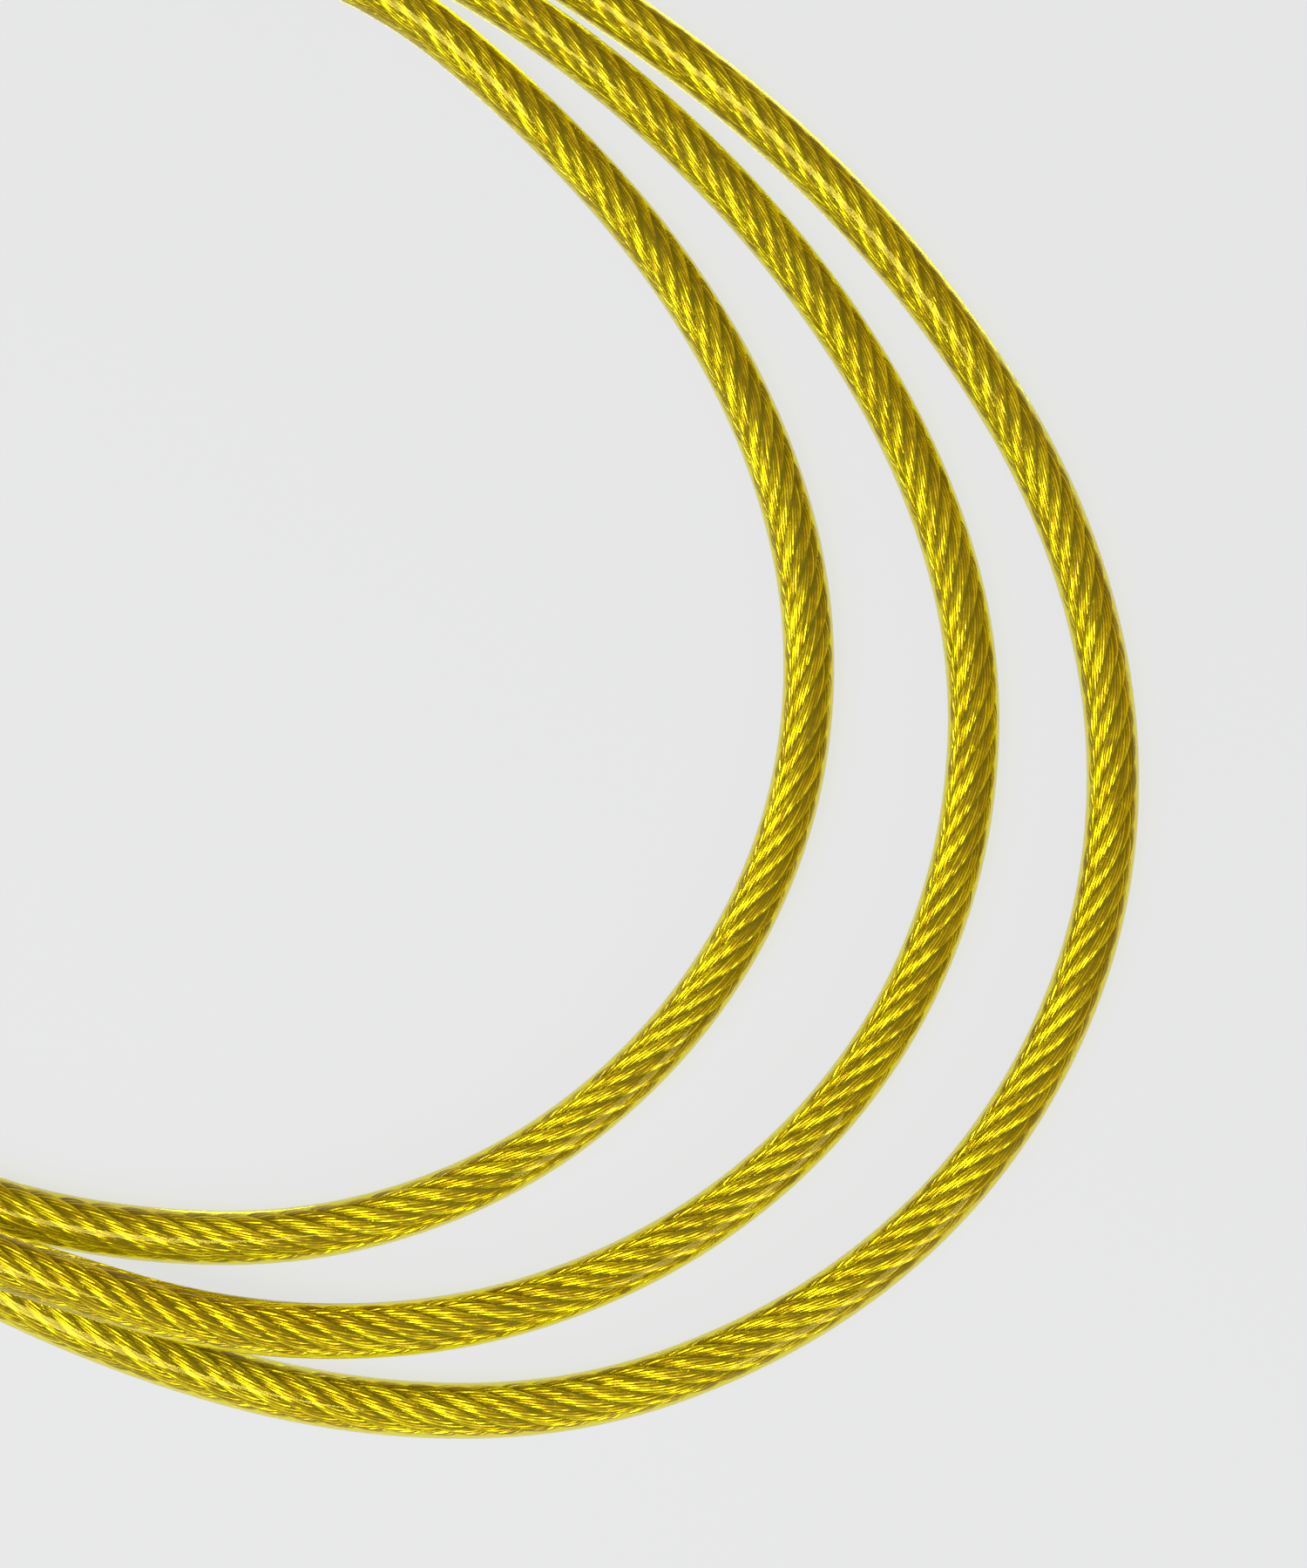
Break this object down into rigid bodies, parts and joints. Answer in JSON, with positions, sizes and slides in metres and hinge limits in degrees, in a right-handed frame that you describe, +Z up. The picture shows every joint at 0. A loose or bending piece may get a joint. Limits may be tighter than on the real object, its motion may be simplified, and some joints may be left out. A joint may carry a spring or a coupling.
{
  "type": "coated wire rope coil for a skipping rope",
  "caption": "Steel wire rope in a clear yellow jacket, laid in three loose turns, with a crimped ferrule and a sliding stop collar at each end and two ties.",
  "frame": {"origin": "middle of the coil's footprint, on the floor it lies on", "axes": "+Z up, out of the flat coil; +X towards the side where the turns fan out"},
  "size_m": [0.2824, 0.2592, 0.0181],
  "materials": {
    "jacket": "clear yellow PVC, smooth and glossy",
    "wire": "bright galvanised steel wire, laid in strands",
    "ferrule": "turned aluminium, crimped",
    "collar": "turned steel, satin",
    "screw": "black oxide steel",
    "tie": "black nylon"
  },
  "bodies": {
    "cable": {"cable_jacket": "jacket", "core_strand": "wire", "outer_strand_1": "wire", "outer_strand_2": "wire", "outer_strand_3": "wire", "outer_strand_4": "wire", "outer_strand_5": "wire", "outer_strand_6": "wire", "end_ferrule_a": "ferrule", "end_ferrule_b": "ferrule", "cable_tie_1": "tie", "cable_tie_2": "tie"},
    "collar_a": {"stop_collar_a": "collar"},
    "screw_a": {"set_screw_a": "screw"},
    "collar_b": {"stop_collar_b": "collar"},
    "screw_b": {"set_screw_b": "screw"}
  },
  "joints": [
    {"name": "collar_a_slide", "type": "slide", "parent": "cable", "child": "collar_a", "axis": [-0.178, 0.984, 0], "range_m": [-0.0035, 0.018]},
    {"name": "screw_a_turn", "type": "hinge", "parent": "collar_a", "child": "screw_a", "pos_m": [-0.1282, -0.07196, 0.007], "axis": [0, 0, 1], "range_deg": [0, 360]},
    {"name": "collar_b_slide", "type": "slide", "parent": "cable", "child": "collar_b", "axis": [-0.3162, -0.9487, 0], "range_m": [-0.0035, 0.018]},
    {"name": "screw_b_turn", "type": "hinge", "parent": "collar_b", "child": "screw_b", "pos_m": [-0.07299, 0.03529, 0.007], "axis": [0, 0, 1], "range_deg": [0, 360]}
  ]
}
